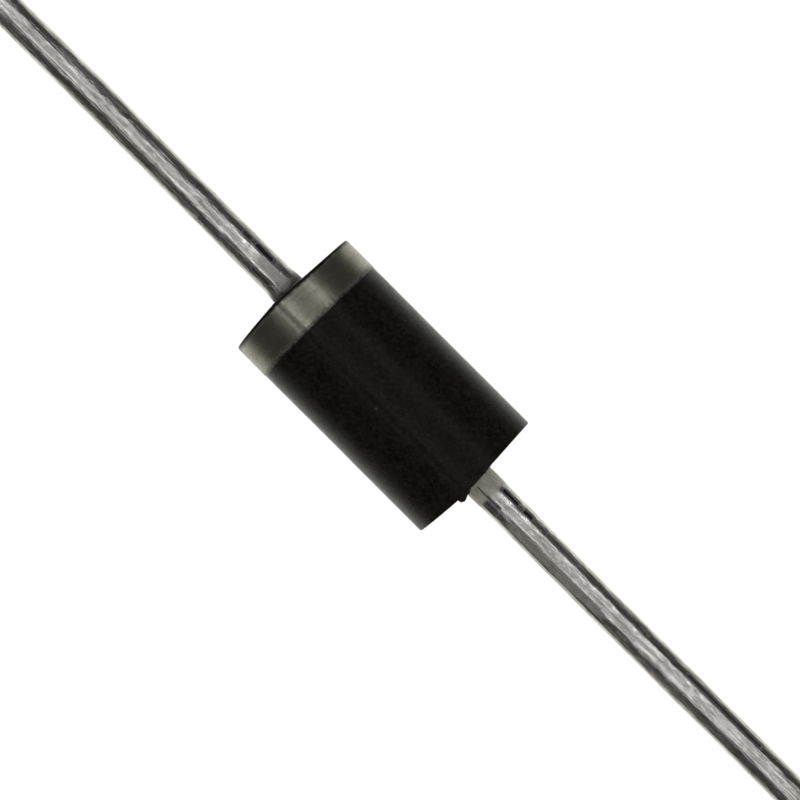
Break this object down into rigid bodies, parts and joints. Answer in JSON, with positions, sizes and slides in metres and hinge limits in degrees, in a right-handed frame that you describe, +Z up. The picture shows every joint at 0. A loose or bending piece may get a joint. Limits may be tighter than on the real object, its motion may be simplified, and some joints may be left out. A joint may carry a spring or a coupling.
{
  "type": "axial rectifier diode",
  "caption": "Axial-lead rectifier diode: black moulded cylinder with a grey cathode ring and a straight tinned wire out of each end.",
  "frame": {"origin": "middle of the moulded body, on the wire axis", "axes": "+X along the wires towards the banded cathode end, +Z up from the surface the body lies on, with the parting plane of the mould 16 degrees from vertical"},
  "size_m": [0.0624, 0.0054, 0.0054],
  "materials": {
    "epoxy": "black filled epoxy moulding compound, satin from the mould",
    "band_ink": "thin silver-grey printed ink, satin",
    "tinned_wire": "dull tin plating over drawn copper",
    "silicon": "sawn silicon with metallised faces",
    "solder": "dull high-lead solder",
    "junction_resin": "cured white junction coating resin"
  },
  "bodies": {
    "root": {"moulded_body": "epoxy", "cathode_band": "band_ink", "cathode_lead": "tinned_wire", "anode_lead": "tinned_wire", "silicon_die": "silicon", "cathode_solder": "solder", "anode_solder": "solder", "junction_coating": "junction_resin"}
  },
  "joints": []
}
